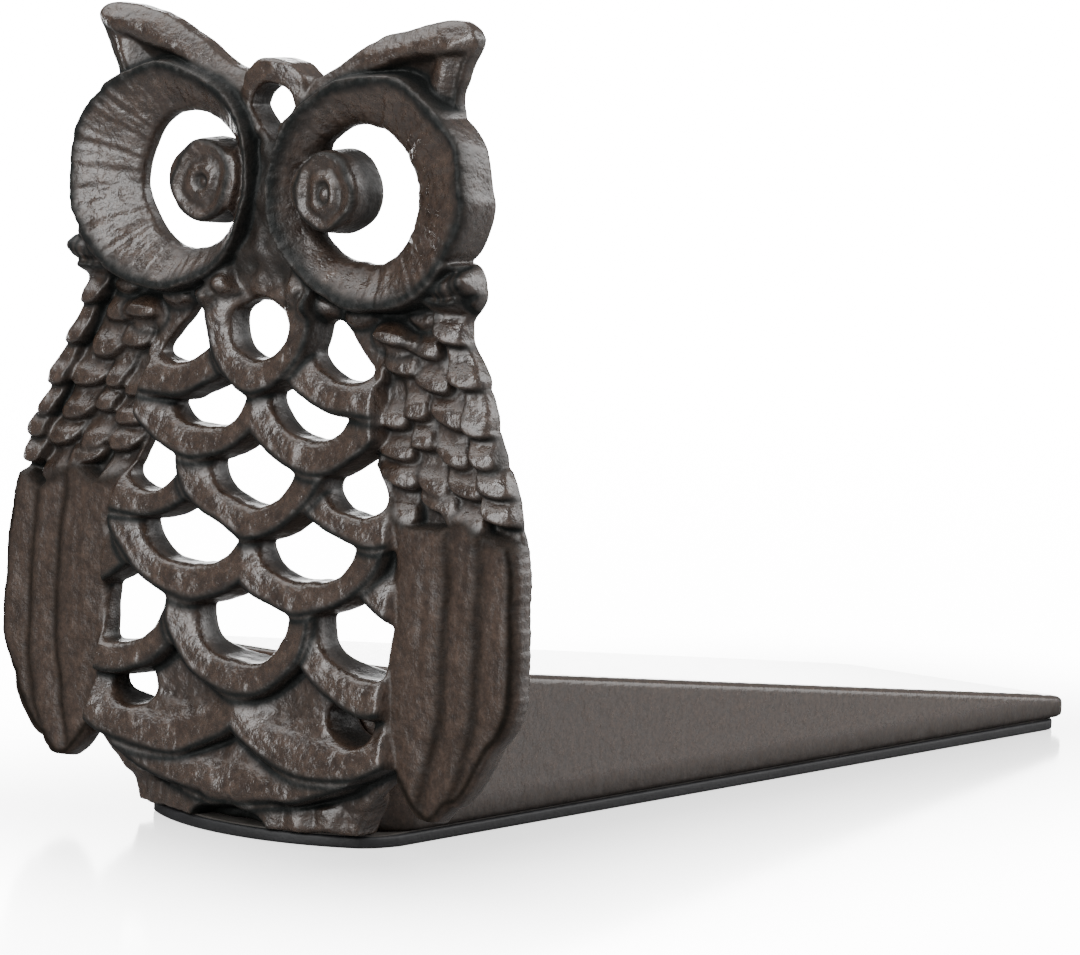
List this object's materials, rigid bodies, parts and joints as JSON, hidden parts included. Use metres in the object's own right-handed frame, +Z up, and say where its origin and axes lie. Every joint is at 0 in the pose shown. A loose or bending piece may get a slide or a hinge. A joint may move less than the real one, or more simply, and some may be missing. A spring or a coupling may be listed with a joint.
{
  "type": "door stop",
  "caption": "Wedge door stop: a low cast ramp with a rubber sole carries an upright openwork owl figure across its thick end.",
  "frame": {"origin": "middle of the part's bounding box in X and Y, on the floor plane under the rubber sole", "axes": "+Y from the figure to the thin end of the ramp, +Z up, +X to the viewer's right when facing the figure's face"},
  "size_m": [0.1038, 0.2014, 0.124],
  "materials": {
    "figure_casting": "rust-brown semi-gloss coating over rough sand casting, dark patina in the recesses",
    "ramp_casting": "rust-brown satin coating over sand casting, darker towards the lower edge",
    "fasteners": "plain steel",
    "adhesive": "thin set film",
    "sole": "matt black rubber sheet"
  },
  "bodies": {
    "root": {"owl_figure": "figure_casting", "wedge_ramp": "ramp_casting", "figure_screw_left": "fasteners", "figure_screw_right": "fasteners", "lock_washer_left": "fasteners", "lock_washer_right": "fasteners", "sole_adhesive": "adhesive", "sole_pad": "sole"}
  },
  "joints": []
}
